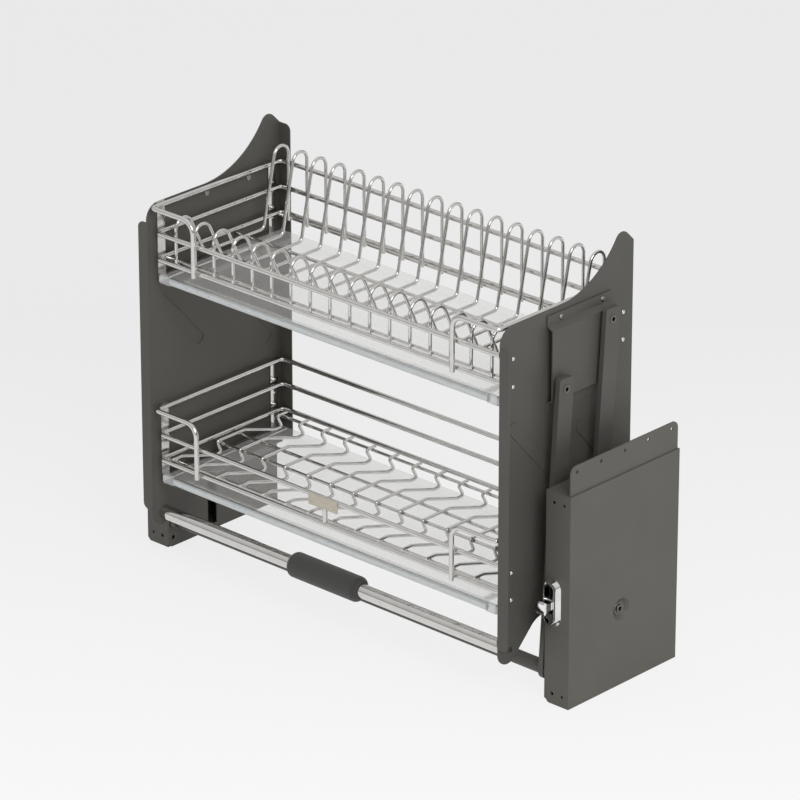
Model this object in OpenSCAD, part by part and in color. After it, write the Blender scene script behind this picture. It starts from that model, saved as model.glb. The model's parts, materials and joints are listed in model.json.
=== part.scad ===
// Pull-down dish rack for a wall cabinet, in millimetres, +Z up.
// Two housings screw to the cabinet walls. Four arms carry a two-level wire rack between them
// and swing it forwards and down. The rack is drawn raised, as it stands inside the cabinet.
// The origin is under the middle of the rack. Depths are counted back from the front edge.

/* [Overall] */
// Width over both housings, the inside width of the cabinet less a little play
overall_w = 764; // [700:1:964]

/* [Housings] */
// Width of one housing, across the cabinet
housing_w = 41; // [38:0.5:60]
// Depth of a housing, front to back
housing_d = 212; // [205:1:260]
// Height of a housing
housing_h = 298; // [290:1:340]
// How far a housing stands back from the front edge of the rack
housing_setback = 58.5; // [50:0.5:62]
// Sheet thickness of the housings, their covers and the screw plates
housing_t = 2; // [1.5:0.1:2.4]
// Height of the screw plate above the housing
screw_plate_rise = 40; // [30:1:60]
// Spacing of the five screw holes
screw_pitch = 46; // [40:1:48]
// Diameter of the screw holes
screw_hole_d = 4.6; // [3.5:0.1:6]

/* [Arms] */
// Distance between the two pivots of an arm
arm_len = 383.5; // [370:0.5:400]
// Lean of the raised arms, backwards from upright, in degrees
arm_lean = 4; // [3:0.5:6]
// Width of an arm
arm_w = 27; // [24:0.5:30]
// Thickness of an arm
arm_t = 7.5; // [6:0.5:9]
// Gap between an arm and its housing
arm_gap = 3.5; // [3:0.1:5]
// Height of the front lower pivot
pivot_z = 39; // [36:0.5:46]
// Front lower pivot, back from the front edge of the rack
pivot_y = 72; // [70:0.5:76]
// Rear pivots, back from the front ones
pivot_step_y = 88; // [80:1:92]
// Rear pivots, up from the front ones
pivot_step_z = 69; // [66:1:74]
// Diameter of the lower axles
axle_d = 12; // [10:0.5:13]
// Diameter of the upper pins
pin_d = 10; // [8:0.5:11]
// Diameter of the bar that joins the two front arms
bar_d = 19; // [16:0.5:22]

/* [Side plates] */
// Gap between a side plate and the arms
plate_gap = 16.2; // [15:0.1:20]
// Sheet thickness of a side plate
plate_t = 1.8; // [1.2:0.1:2.2]
// Depth of a side plate
plate_d = 252; // [248:1:262]
// Height of the flat top edge
plate_top_z = 524.5; // [523:0.5:530]
// Rise of the rounded peak at the back, above the flat top edge
peak_rise = 65.5; // [60:0.5:72]
// Width of the front edge, turned outwards
front_flange_w = 15; // [12:0.2:18]
// Width of the rear edge, turned inwards
rear_flange_w = 20; // [12:0.5:24]
// Height of the bottom edge behind the front lug
plate_bottom_z = 105; // [98:1:112]

/* [Baskets] */
// Height of the bottom rail of the upper basket
basket_z = 448.2; // [446:0.1:450]
// How far the lower basket hangs under the upper one
basket_drop = 289.5; // [280:0.5:292]
// Spacing of the three rails, up a basket
rail_pitch = 36.75; // [30:0.25:37]
// Diameter of the rail wire
rail_d = 6.8; // [6:0.1:7]
// Corner bend of the rails
rail_bend = 8; // [6:0.5:12]
// Depth of the baskets, to the centre of the rear rails
basket_d = 246.5; // [245.5:0.1:246.5]
// Distance from a front post to the side rail
post_inset = 76.5; // [70:0.1:90]
// Bend of the top rail into a front post
post_bend = 18; // [12:0.5:22]
// Diameter of the plate-holder wire
plate_wire_d = 4.6; // [4:0.1:4.8]
// Number of plate holders
plate_wire_n = 17; // [3:2:17]
// Distance from the last plate holder to the side rail
plate_end_gap = 26; // [20:0.1:40]
// Height of the tall loops above the base of the basket
tall_loop_h = 109; // [95:1:120]
// Height of the short front loops above the base
short_loop_h = 59.5; // [50:0.5:66]
// Diameter of the floor wire
floor_wire_d = 4.6; // [4:0.1:5]
// Number of floor wires
floor_wire_n = 15; // [5:2:15]
// Distance from the last floor wire to the side rail
floor_end_gap = 12; // [12:0.1:30]
// Depth of the saw teeth of the floor wires
tooth_h = 18.5; // [14:0.5:18.5]

/* [Trays] */
// Thickness of the clear tray
tray_t = 1.6; // [1.2:0.1:2.2]
// How far the lip of a tray stands back from the front edge of the rack
tray_front_y = 10; // [6:0.5:12]
// Depth of the tray, behind its front lip
tray_d = 224; // [200:1:224]
// Drop of the tray rim under the bottom rail, enough to pass under the teeth of the floor
tray_drop = 24.3; // [24.3:0.1:27]
// Depth of the dished floor of the tray
tray_dish = 8; // [4:0.5:12]
// Height of the front lip
lip_h = 11; // [9:0.5:12]
// Thickness of the front lip
lip_t = 6; // [4:0.5:6]

/* [Handle] */
// Diameter of the handle tube
handle_d = 19.5; // [16:0.5:22]
// Handle axis, back from the front edge
handle_y = 22; // [18:0.5:24]
// Height of the handle axis
handle_z = 76; // [74:0.5:84]
// Diameter of the foam grip
grip_d = 35; // [28:0.5:38]
// Length of the foam grip
grip_l = 124; // [110:1:200]
// How far the grip sits left of the middle
grip_shift = 8; // [0:1:20]

/* [Adjusters] */
// Width of the flange of an adjuster bezel
bezel_w = 28; // [27:0.5:29]
// Height of the flange
bezel_h = 66; // [64:1:80]
// Height of its middle
bezel_z = 145; // [130:1:170]
// How far the collar stands out of the housing
collar_out = 10.5; // [10:0.5:12]
// Edge of the flange left round the collar
collar_margin = 4.8; // [4:0.1:5.2]
// Length of the thumb tab, from its pivot
tab_l = 22; // [20:0.5:24]

/* [Hidden] */
$fn = 48;

// Fits: a running fit, a seat between two pieces of one body, and the overrun of every cut
run_fit = 0.05;
seat = 0.1;
over = 1;

// Places across the rack, from the middle outwards
half_w = overall_w / 2;
cover_x = half_w - housing_w;
arm_out_x = cover_x - arm_gap;
arm_in_x = arm_out_x - arm_t;
plate_out_x = arm_in_x - plate_gap;
plate_in_x = plate_out_x - plate_t;
strip_t = 2.5;
strip_w = 14;
strip_in_x = plate_in_x - strip_t;
rail_x = strip_in_x - seat - rail_d / 2;

// The middle of the depth is the origin
mid_y = (housing_setback + housing_d) / 2;
housing_back_y = housing_setback + housing_d;

// Pivots, as [depth, height]
front_pivot = [pivot_y, pivot_z];
rear_pivot = front_pivot + [pivot_step_y, pivot_step_z];
arm_dir = [sin(arm_lean), cos(arm_lean)];
arm_side = [cos(arm_lean), -sin(arm_lean)];
front_pin = front_pivot + arm_len * arm_dir;
rear_pin = rear_pivot + arm_len * arm_dir;
arm_corner_r = 4;
arm_over = 15.5;

// Dimple in the outer wall that sinks the axle bolt
dimple_r = 15.5;
dimple_floor_r = 11;
dimple_deep = 5;
dimple_back_r = 12.4;

// Small fixings
rivet_r = 2;
dome_shares = [[0, 0], [1, 0], [0.75, 0.7], [0.3, 1], [0, 1]];
rivet_head_r = 3.3;
rivet_head_h = 1.5;
screw_r = 2.5;
screw_head_r = 4;
screw_head_h = 2;
strip_front_y = 24;
strip_rear_y = 234;
strip_tail = 35;
rivet_up = 31;
rivet_down = 7;
low_rivet_drop = 5.5;

// Arm bracket, pressed out of the side plate
bracket_t = 2;
bracket_seat = 0.2;
bracket_raise = 9;
bracket_d = 122;
bracket_strip = 13;
bracket_bend = 5;
bracket_below = 17.6;
bracket_above = 9.4;
bracket_back = 21.2;
screw_up = 5.8;
screw_front = 13.3;
screw_rear = 4.3;
panel_x = plate_out_x + bracket_raise + bracket_t;
bracket_panel_z = front_pin[1] - bracket_below;
bracket_low_bend_z = bracket_panel_z - bracket_bend;
bracket_bottom_z = bracket_low_bend_z - bracket_strip;
bracket_panel_top_z = rear_pin[1] + bracket_above;
bracket_top_bend_z = bracket_panel_top_z + bracket_bend;
bracket_top_z = bracket_top_bend_z + bracket_strip;
bracket_y = rear_pin[0] + bracket_back - bracket_d;
bracket_screw_z = bracket_top_bend_z + screw_up;
bracket_screw_y = [front_pin[0] + screw_front, rear_pin[0] + screw_rear];

// Heights of both baskets
cross_z = basket_z - rail_d / 2 - plate_wire_d / 2 - seat;
base_z = cross_z + plate_wire_d + seat;
low_basket_z = basket_z - basket_drop;
floor_cross_z = low_basket_z - rail_d / 2 - floor_wire_d / 2 - seat;
floor_z = floor_cross_z + floor_wire_d + seat;
rail_front_y = rail_d / 2;
rail_inner_y = rail_front_y + rail_d + seat;
post_x = rail_x - post_inset;
plate_wire_pitch = 2 * (rail_x - plate_end_gap) / (plate_wire_n - 1);
floor_wire_pitch = 2 * (rail_x - floor_end_gap) / (floor_wire_n - 1);

// Outline of a plate-holder wire
front_leg_y = 21.7;
short_loop_w = 24.4;
short_loop_bend = 14.4;
short_foot_y = 74.4;
foot_bend = 7;
tall_foot_y = 186.4;
tall_foot_bend = 8;
tall_loop_w = 24.8;
tall_loop_bend = 13.6;
rear_leg_y = 234.7;
leg_tail = 2.5;
base_wire_y = [90.6, 158];

// Outline of a floor wire
floor_front_y = 21.5;
floor_rear_y = 241;
floor_bend = 3;
front_flat = 18;
front_slope = 61.5;
valley = 13.5;
front_undercut = 8.5;
plateau = 53.5;
rear_slope = 59.5;
rear_undercut = 10.5;
floor_cross_y = [30, 113.6, 152, 236];
linked_every = 7;

// Badge
badge_w = 52;
badge_h = 17;
badge_t = 1.2;
badge_drop = 5.1;

// Trays
tray_play = 8;
runner_t = 1.5;
runner_w = 17;
runner_leg = 11;
cap_l = 17;
cap_over = 1.2;
dish_side = 33;
dish_front = 6;
dish_back = 16;
lip_drop = 8.4;
tray_x = strip_in_x - runner_t - tray_play - seat;

// Handle
handle_wall = 1.5;
plug_l = 22;
grip_round = 7.5;
handle_screw_l = 14;

// Adjuster
flange_t = 2;
collar_wall = 1.8;
collar_w = bezel_w - 2 * collar_margin;
collar_h = bezel_h - 2 * collar_margin;
bezel_edge = 0.3;
bezel_x = cover_x + bezel_edge + bezel_w / 2;
lever_gap = 0.3;
lever_w = collar_w - 2 * collar_wall - 2 * lever_gap;
lever_forward = 5;
lever_at = [housing_setback - lever_forward, bezel_z];
trunnion_r = 2.5;
trunnion_in = 0.9;
trunnion_bore_in = 1.2;
hub_r = 7.6;
tab_rise = 12;
neck_out = 9;
neck_half = 5;
neck_r = 16.5;

dark_steel = [0.29, 0.28, 0.26];
chrome_col = [0.8, 0.81, 0.82];

// Everything is drawn from the front edge, then moved so that the origin is in the middle
module in_frame() {
    translate([0, -mid_y, 0]) children();
}

// The right-hand piece as drawn, or its mirror image for the left
module sided(s) {
    if (s > 0) children();
    else mirror([1, 0, 0]) children();
}

// A block between two corners
module block(a, b) {
    translate(a) cube(b - a);
}

// A round bar across the rack from x0 to x1, at [depth, height]
module bar_x(x0, x1, at, r) {
    translate([x0, at[0], at[1]]) rotate([0, 90, 0]) cylinder(h = x1 - x0, r = r);
}

// A flat outline in [depth, height], thickened across the rack from x0 to x1
module slab_x(x0, x1) {
    translate([x0, 0, 0]) rotate([90, 0, 90]) linear_extrude(x1 - x0) children();
}

// A turned outline of [radius, distance], its axis across the rack
module turned_x(x0, at) {
    translate([x0, at[0], at[1]]) rotate([0, 90, 0]) rotate_extrude() children();
}

// Wires: straight rods between tangent points, with a part of a torus in each corner
function unit(v) = v / norm(v);
function turn(a, b, c) = acos(max(-1, min(1, unit(b - a) * unit(c - b))));
function pick(list, i) = is_list(list) ? list[i] : list;

module placed_axes(o, x, y, z) {
    multmatrix([[x[0], y[0], z[0], o[0]], [x[1], y[1], z[1], o[1]],
                [x[2], y[2], z[2], o[2]], [0, 0, 0, 1]]) children();
}

module rod(a, b, d) {
    w = unit(b - a);
    u = unit(cross(w, abs(w[2]) < 0.9 ? [0, 0, 1] : [1, 0, 0]));
    placed_axes(a, u, cross(w, u), w) cylinder(h = norm(b - a), d = d, $fn = 24);
}

// A bend is a hair fatter than the straights, which reach a little way into it
bend_fat = 0.06;
bend_lap = 0.2;

module elbow(a, b, c, d, bend) {
    d1 = unit(b - a);
    d2 = unit(c - b);
    angle = turn(a, b, c);
    centre = b + unit(d2 - d1) * bend / cos(angle / 2);
    x = unit(b - d1 * bend * tan(angle / 2) - centre);
    placed_axes(centre, x, d1, cross(x, d1))
        rotate_extrude(angle = angle) translate([bend, 0]) circle(d = d + bend_fat, $fn = 24);
}

// A wire along points, open or closed, with one bend radius or one for each corner
module wire(pts, d, bend, closed = false) {
    n = len(pts);
    tangent = [for (i = [0:n - 1])
        !closed && (i == 0 || i == n - 1) ? 0
        : pick(bend, closed ? i : i - 1)
          * tan(turn(pts[(i + n - 1) % n], pts[i], pts[(i + 1) % n]) / 2) - bend_lap];
    for (i = [0:closed ? n - 1 : n - 2]) {
        a = pts[i];
        b = pts[(i + 1) % n];
        rod(a + unit(b - a) * tangent[i], b - unit(b - a) * tangent[(i + 1) % n], d);
    }
    for (i = [closed ? 0 : 1:closed ? n - 1 : n - 2])
        elbow(pts[(i + n - 1) % n], pts[i], pts[(i + 1) % n], d,
              pick(bend, closed ? i : i - 1));
}

// Housings

front_hole_inset = 14.6;
big_hole_share = 0.68;
small_hole_share = 0.27;

module housing(s) {
    inner_x = cover_x + housing_t + seat;
    wall = housing_t;
    big_hole_x = half_w - housing_w * big_hole_share;
    small_hole_x = half_w - housing_w * small_hole_share;
    color(dark_steel) in_frame() sided(s) difference() {
        union() {
            difference() {
                block([inner_x, housing_setback, 0], [half_w, housing_back_y, housing_h]);
                block([inner_x - over, housing_setback + wall, wall],
                      [half_w - wall, housing_back_y - wall, housing_h - wall]);
                bar_x(half_w - wall - over, half_w + over, rear_pivot, dimple_r);
            }
            turned_x(half_w, rear_pivot)
                polygon([[dimple_r, 0], [dimple_floor_r, -dimple_deep],
                         [axle_d / 2 + run_fit, -dimple_deep],
                         [axle_d / 2 + run_fit, -dimple_deep - wall],
                         [dimple_back_r, -dimple_deep - wall], [dimple_r, -wall]]);
        }
        // slot in the top for the screw plate
        block([half_w - 2 * wall - seat, housing_setback + wall, housing_h - wall - over],
              [half_w - wall, housing_back_y - wall, housing_h + over]);
        // fixing holes in the front, and the window behind the adjuster
        for (z = [front_hole_inset, housing_h - front_hole_inset]) {
            front_hole(big_hole_x, z, screw_r);
            front_hole(small_hole_x, z, rivet_r);
        }
        adjuster_window();
        front_corner(s > 0 ? inner_x : half_w);
    }
}

// The lower left corner of the front is cut off at an angle
module front_corner(x) {
    cut = 4.5;
    deep = 8;
    translate([x, housing_setback + deep, 0]) rotate([90, 0, 0])
        linear_extrude(deep + over) polygon([[-cut, 0], [0, -cut], [cut, 0], [0, cut]]);
}

module front_hole(x, z, r) {
    translate([x, housing_setback - over, z]) rotate([-90, 0, 0])
        cylinder(h = housing_t + 2 * over, r = r);
}

module adjuster_window() {
    side = collar_w / 2 - collar_wall;
    rise = collar_h / 2 - collar_wall;
    block([bezel_x - side, housing_setback - over, bezel_z - rise + side],
          [bezel_x + side, housing_setback + housing_t + over, bezel_z + rise - side]);
}

module housing_left() { housing(-1); }
module housing_right() { housing(1); }

module inner_cover(s) {
    window_w = 17;
    window_back = 9;
    window_low_z = 8;
    window_high_z = 84;
    corner = 5;
    tool_hole_in = 8.5;
    tool_hole_z = 13.5;
    tool_hole_r = 3;
    window_y = rear_pivot[0] - window_back;
    color(dark_steel) in_frame() sided(s) difference() {
        slab_x(cover_x, cover_x + housing_t)
            polygon([[housing_setback + corner, 0], [housing_back_y, 0],
                     [housing_back_y, housing_h], [housing_setback, housing_h],
                     [housing_setback, corner]]);
        for (p = [front_pivot, rear_pivot])
            bar_x(cover_x - over, cover_x + housing_t + over, p, axle_d / 2 + run_fit);
        bar_x(cover_x - over, cover_x + housing_t + over,
              [housing_setback + tool_hole_in, tool_hole_z], tool_hole_r);
        block([cover_x - over, window_y - window_w, window_low_z],
              [cover_x + housing_t + over, window_y, window_high_z]);
    }
}

module inner_cover_left() { inner_cover(-1); }
module inner_cover_right() { inner_cover(1); }

foot_share = 0.7;

module screw_plate(s) {
    x1 = half_w - housing_t - seat / 2;
    x0 = x1 - housing_t;
    y0 = housing_setback + housing_t + seat;
    y1 = housing_back_y - housing_t - seat;
    foot_z = housing_h * foot_share;
    top_z = housing_h + screw_plate_rise;
    corner = 10;
    hole_drop = 9;
    hole_z = top_z - hole_drop;
    color(dark_steel) in_frame() sided(s) difference() {
        slab_x(x0, x1) union() {
            translate([y0, foot_z]) square([y1 - y0, top_z - corner - foot_z]);
            translate([y0 + corner, top_z - corner]) square([y1 - y0 - 2 * corner, corner]);
            for (y = [y0 + corner, y1 - corner])
                translate([y, top_z - corner]) circle(r = corner);
        }
        for (i = [-2:2])
            bar_x(x0 - over, x1 + over, [housing_setback + housing_d / 2 + i * screw_pitch, hole_z],
                  screw_hole_d / 2);
    }
}

module screw_plate_left() { screw_plate(-1); }
module screw_plate_right() { screw_plate(1); }

// Adjusters on the front of the housings

module stadium(w, h) {
    translate([-w / 2, -h / 2 + w / 2]) square([w, h - w]);
    for (z = [-h / 2 + w / 2, h / 2 - w / 2])
        translate([0, z]) circle(d = w);
}

// A flat flange with a collar standing on it, open through both
module adjuster_bezel(s) {
    bore_x = collar_w / 2 - collar_wall + trunnion_bore_in;
    color(chrome_col) in_frame() sided(s) difference() {
        translate([bezel_x, housing_setback, bezel_z]) rotate([90, 0, 0]) {
            linear_extrude(flange_t) stadium(bezel_w, bezel_h);
            linear_extrude(collar_out) stadium(collar_w, collar_h);
        }
        translate([bezel_x, housing_setback + over, bezel_z]) rotate([90, 0, 0])
            linear_extrude(collar_out + 2 * over)
                stadium(collar_w - 2 * collar_wall, collar_h - 2 * collar_wall);
        bar_x(bezel_x - bore_x, bezel_x + bore_x, lever_at, trunnion_r + run_fit);
    }
}

module adjuster_bezel_left() { adjuster_bezel(-1); }
module adjuster_bezel_right() { adjuster_bezel(1); }

// A thumb tab with hollow sides and a rounded end, on two stub pins
module adjuster_lever(s) {
    stub = lever_w / 2 + lever_gap + trunnion_in;
    color(chrome_col) in_frame() sided(s) {
        bar_x(bezel_x - stub, bezel_x + stub, lever_at, trunnion_r);
        slab_x(bezel_x - lever_w / 2, bezel_x + lever_w / 2) translate(lever_at) {
            circle(r = hub_r);
            intersection() {
                circle(r = tab_l);
                difference() {
                    translate([-tab_l, -tab_rise]) square([tab_l, 2 * tab_rise]);
                    for (z = [-1, 1])
                        translate([-neck_out, z * (neck_half + neck_r)]) circle(r = neck_r);
                }
            }
        }
    }
}

module adjuster_lever_left() { adjuster_lever(-1); }
module adjuster_lever_right() { adjuster_lever(1); }

// Inside the housings

damper_w = 12;
damper_r = 20;
spring_r = 13;
spring_play = 0.4;
damper_x1 = half_w - dimple_deep - housing_t - seat;
damper_x0 = damper_x1 - damper_w;

module lift_spring(s) {
    color("dimgray") in_frame() sided(s) difference() {
        bar_x(cover_x + housing_t + seat, damper_x0 - seat, rear_pivot, spring_r);
        bar_x(cover_x, damper_x0 + over, rear_pivot, axle_d / 2 + spring_play);
    }
}

module lift_spring_left() { lift_spring(-1); }
module lift_spring_right() { lift_spring(1); }

module damper(s) {
    color("darkslategray") in_frame() sided(s) difference() {
        bar_x(damper_x0, damper_x1, rear_pivot, damper_r);
        bar_x(damper_x0 - over, damper_x1 + over, rear_pivot, axle_d / 2 + run_fit);
    }
}

module damper_left() { damper(-1); }
module damper_right() { damper(1); }

module front_axle(s) {
    color("silver") in_frame() sided(s)
        bar_x(arm_in_x + seat, half_w - housing_t - seat / 2, front_pivot, axle_d / 2);
}

module front_axle_left() { front_axle(-1); }
module front_axle_right() { front_axle(1); }

module axle_bearings() {
    bearing_wall = 4.4;
    bearing_r = axle_d / 2 + bearing_wall;
    x0 = cover_x + housing_t + seat;
    x1 = half_w - housing_t - seat / 2;
    color("gainsboro") in_frame() for (s = [-1, 1]) sided(s) difference() {
        bar_x(x0, x1, front_pivot, bearing_r);
        bar_x(x0 - over, x1 + over, front_pivot, axle_d / 2 + run_fit);
    }
}

// Rings that hold the arms off the housings
module axle_spacers() {
    ring_wall = 5;
    color("silver") in_frame() for (s = [-1, 1]) sided(s) for (p = [front_pivot, rear_pivot])
        difference() {
            bar_x(arm_out_x + seat, cover_x - seat, p, axle_d / 2 + ring_wall);
            bar_x(arm_out_x, cover_x, p, axle_d / 2 + run_fit);
        }
}

// An axle with its head against the arm, and a washer and a hexagon socket in the dimple
module rear_axle(s) {
    head_over = 3;
    head_r = axle_d / 2 + head_over;
    head_t = 2.4;
    washer_over = 3.6;
    washer_r = axle_d / 2 + washer_over;
    washer_t = 1.4;
    end_t = 1.6;
    socket_r = 3.5;
    socket_deep = 4;
    floor_x = half_w - dimple_deep;
    x_end = floor_x + seat + washer_t + end_t;
    color("silver") in_frame() sided(s) difference() {
        union() {
            bar_x(arm_in_x - seat - head_t, arm_in_x - seat, rear_pivot, head_r);
            bar_x(arm_in_x - seat, x_end, rear_pivot, axle_d / 2);
            bar_x(floor_x + seat, floor_x + seat + washer_t, rear_pivot, washer_r);
        }
        translate([x_end - socket_deep, rear_pivot[0], rear_pivot[1]])
            rotate([0, 90, 0]) cylinder(h = socket_deep + over, r = socket_r, $fn = 6);
    }
}

module rear_axle_left() { rear_axle(-1); }
module rear_axle_right() { rear_axle(1); }

// Rubber buffers that the raised rear arms rest against
module arm_stops() {
    stop_r = 7;
    stop_drop = 22;
    along = housing_h - stop_drop - rear_pivot[1];
    at = rear_pivot + along * arm_dir + (arm_w / 2 + stop_r + 2 * seat) * arm_side;
    color([0.12, 0.12, 0.12]) in_frame() for (s = [-1, 1]) sided(s)
        bar_x(arm_in_x + seat, cover_x, at, stop_r);
}

// Arms

module arm(s, low, hi_fit) {
    color(dark_steel) in_frame() sided(s) translate([0, low[0], low[1]]) rotate([-arm_lean, 0, 0])
        difference() {
            slab_x(arm_in_x, arm_out_x) union() {
                circle(d = arm_w);
                translate([-arm_w / 2, 0]) square([arm_w, arm_len + arm_over - arm_corner_r]);
                translate([-arm_w / 2 + arm_corner_r, arm_len])
                    square([arm_w - 2 * arm_corner_r, arm_over]);
                for (y = [-1, 1])
                    translate([y * (arm_w / 2 - arm_corner_r), arm_len + arm_over - arm_corner_r])
                        circle(r = arm_corner_r);
            }
            bar_x(arm_in_x - over, arm_out_x + over, [0, 0], axle_d / 2 + run_fit);
            bar_x(arm_in_x - over, arm_out_x + over, [0, arm_len], pin_d / 2 + hi_fit);
        }
}

// The rear arms close the linkage, so their upper holes have more play
open_fit = 0.3;
module front_arm_left() { arm(-1, front_pivot, run_fit); }
module front_arm_right() { arm(1, front_pivot, run_fit); }
module rear_arm_left() { arm(-1, rear_pivot, open_fit); }
module rear_arm_right() { arm(1, rear_pivot, open_fit); }

module cross_bar() {
    bar_wall = 2;
    color(dark_steel) in_frame() difference() {
        bar_x(-arm_in_x + seat, arm_in_x - seat, front_pivot, bar_d / 2);
        bar_x(-arm_in_x - over, arm_in_x + over, front_pivot, bar_d / 2 - bar_wall);
    }
}

// Side plates

lug_r = 18;
lug_z = handle_z;
cut_r = 30;
top_corner_r = 22;
tip_r = 13;
sweep_r = 136;
sweep_y = 107;
flange_corner = 9;
flange_low_z = 84;
flange_high_z = 500;
emboss = 1;
emboss_r = 8.5;
rib_a = [[24.5, 384], [93, 308.5]];
rib_b = [[154, 347], [223, 271]];

// Centre of the peak's tip, which touches the big sweep
tip_z = plate_top_z + peak_rise - tip_r;
sweep_z = plate_top_z + sweep_r;
tip_y = sweep_y + sqrt(pow(sweep_r + tip_r, 2) - pow(sweep_z - tip_z, 2));
tip_touch = [tip_y, tip_z] + tip_r * [cos(45), sin(45)];
rear_top_z = tip_touch[1] - (plate_d - tip_touch[0]);

module plate_outline() {
    lean = cos(45);
    sweep_touch = [sweep_y, sweep_z] + unit([tip_y - sweep_y, tip_z - sweep_z]) * sweep_r;
    touch = [lug_r, lug_z] + lug_r * [lean, -lean];
    cut_y = touch[0] + plate_bottom_z - touch[1];
    ease = cut_r * tan(22.5);
    difference() {
        union() {
            polygon([[0, lug_z], [lug_r, lug_z], touch,
                     [cut_y - ease * lean, plate_bottom_z - ease * lean],
                     [cut_y + ease, plate_bottom_z], [plate_d, plate_bottom_z],
                     [plate_d, rear_top_z], tip_touch, [tip_y, tip_z], sweep_touch,
                     [sweep_y, plate_top_z], [top_corner_r, plate_top_z],
                     [top_corner_r, plate_top_z - top_corner_r],
                     [0, plate_top_z - top_corner_r]]);
            translate([tip_y, tip_z]) circle(r = tip_r);
            translate([top_corner_r, plate_top_z - top_corner_r]) circle(r = top_corner_r);
            translate([lug_r, lug_z]) circle(r = lug_r);
        }
        translate([sweep_y, sweep_z]) circle(r = sweep_r, $fn = 96);
        translate([cut_y + ease, plate_bottom_z - cut_r]) circle(r = cut_r);
    }
}

// A turned edge of the plate from x0 to x1, with rounded far corners
module turned_edge(x0, x1, y, low_z, high_z, outer) {
    far = outer > 0 ? x1 - flange_corner : x0 + flange_corner;
    near = outer > 0 ? x0 : x1;
    translate([0, y + plate_t, 0]) rotate([90, 0, 0]) linear_extrude(plate_t) {
        translate([min(near, far), low_z]) square([abs(far - near), high_z - low_z]);
        translate([x0, low_z + flange_corner])
            square([x1 - x0, high_z - low_z - 2 * flange_corner]);
        for (z = [low_z + flange_corner, high_z - flange_corner])
            translate([far, z]) circle(r = flange_corner);
    }
}

module emboss_rib(ends) {
    run = ends[1] - ends[0];
    translate(ends[0]) rotate(atan2(run[1], run[0])) {
        translate([0, -emboss_r]) square([norm(run), 2 * emboss_r]);
        circle(r = emboss_r);
        translate([norm(run), 0]) circle(r = emboss_r);
    }
}

function rivet_places(z) = [for (y = [strip_front_y, strip_rear_y])
    for (dz = [rivet_up, -rivet_down]) [y, z + dz]];
all_rivets = concat(rivet_places(basket_z), rivet_places(low_basket_z - low_rivet_drop));

module side_plate(s) {
    color(dark_steel) in_frame() sided(s) difference() {
        union() {
            slab_x(plate_in_x, plate_out_x) plate_outline();
            turned_edge(plate_in_x, plate_out_x + front_flange_w, 0, flange_low_z,
                        flange_high_z, 1);
            turned_edge(plate_in_x - rear_flange_w, plate_out_x, plate_d - plate_t,
                        plate_bottom_z + flange_corner, rear_top_z, -1);
            for (r = [rib_a, rib_b])
                slab_x(plate_out_x, plate_out_x + emboss) emboss_rib(r);
        }
        for (r = [rib_a, rib_b])
            slab_x(plate_in_x - over, plate_in_x + emboss) emboss_rib(r);
        for (p = all_rivets)
            bar_x(plate_in_x - over, plate_out_x + over, p, rivet_r + seat);
        for (y = bracket_screw_y)
            bar_x(plate_in_x - over, plate_out_x + over, [y, bracket_screw_z], screw_r + seat);
        bar_x(plate_in_x - over, plate_out_x + over, [handle_y, handle_z], screw_r + seat);
    }
}

module side_plate_left() { side_plate(-1); }
module side_plate_right() { side_plate(1); }

// Pressed bracket that carries the upper pins, with a flat strip above and below its panel
module arm_bracket(s) {
    x0 = plate_out_x + bracket_seat;
    x1 = x0 + bracket_t;
    p0 = panel_x - bracket_t;
    color(dark_steel) in_frame() sided(s) difference() {
        translate([0, bracket_y + bracket_d, 0]) rotate([90, 0, 0]) linear_extrude(bracket_d)
            polygon([[x0, bracket_bottom_z], [x1, bracket_bottom_z], [x1, bracket_low_bend_z],
                     [panel_x, bracket_panel_z], [panel_x, bracket_panel_top_z],
                     [x1, bracket_top_bend_z], [x1, bracket_top_z], [x0, bracket_top_z],
                     [x0, bracket_top_bend_z - bracket_t / 2],
                     [p0, bracket_panel_top_z - bracket_t / 2],
                     [p0, bracket_panel_z + bracket_t / 2],
                     [x0, bracket_low_bend_z + bracket_t / 2]]);
        for (y = bracket_screw_y)
            bar_x(x0 - over, x1 + over, [y, bracket_screw_z], screw_r + seat);
        for (p = [front_pin, rear_pin])
            bar_x(p0 - over, panel_x + over, p, pin_d / 2 + seat);
    }
}

module arm_bracket_left() { arm_bracket(-1); }
module arm_bracket_right() { arm_bracket(1); }

// Upper pins: a head behind the panel, a collar, the bearing length and a hollow riveted end
module arm_pins(s) {
    back_t = 2;
    head_t = 0.8;
    eye_r = 2.8;
    eye_deep = 8;
    collar_over = 2;
    collar_r = pin_d / 2 + collar_over;
    eye_over = 1;
    p0 = panel_x - bracket_t;
    x_end = arm_out_x + seat + head_t;
    color("silver") in_frame() sided(s) for (p = [front_pin, rear_pin]) difference() {
        union() {
            bar_x(p0 - seat - back_t, p0 - seat, p, collar_r);
            bar_x(p0 - seat, x_end, p, pin_d / 2);
            bar_x(panel_x + seat, arm_in_x - seat, p, collar_r);
            bar_x(arm_out_x + seat, x_end, p, pin_d / 2 + eye_over);
        }
        bar_x(x_end - eye_deep, x_end + over, p, eye_r);
    }
}

module arm_pins_left() { arm_pins(-1); }
module arm_pins_right() { arm_pins(1); }

module bracket_screws() {
    tail = 1;
    x1 = plate_out_x + bracket_seat + bracket_t + seat / 2;
    color("silver") in_frame() for (s = [-1, 1]) sided(s) for (y = bracket_screw_y) {
        at = [y, bracket_screw_z];
        bar_x(plate_in_x - tail, x1, at, screw_r);
        bar_x(x1, x1 + screw_head_h, at, screw_head_r);
    }
}

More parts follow.
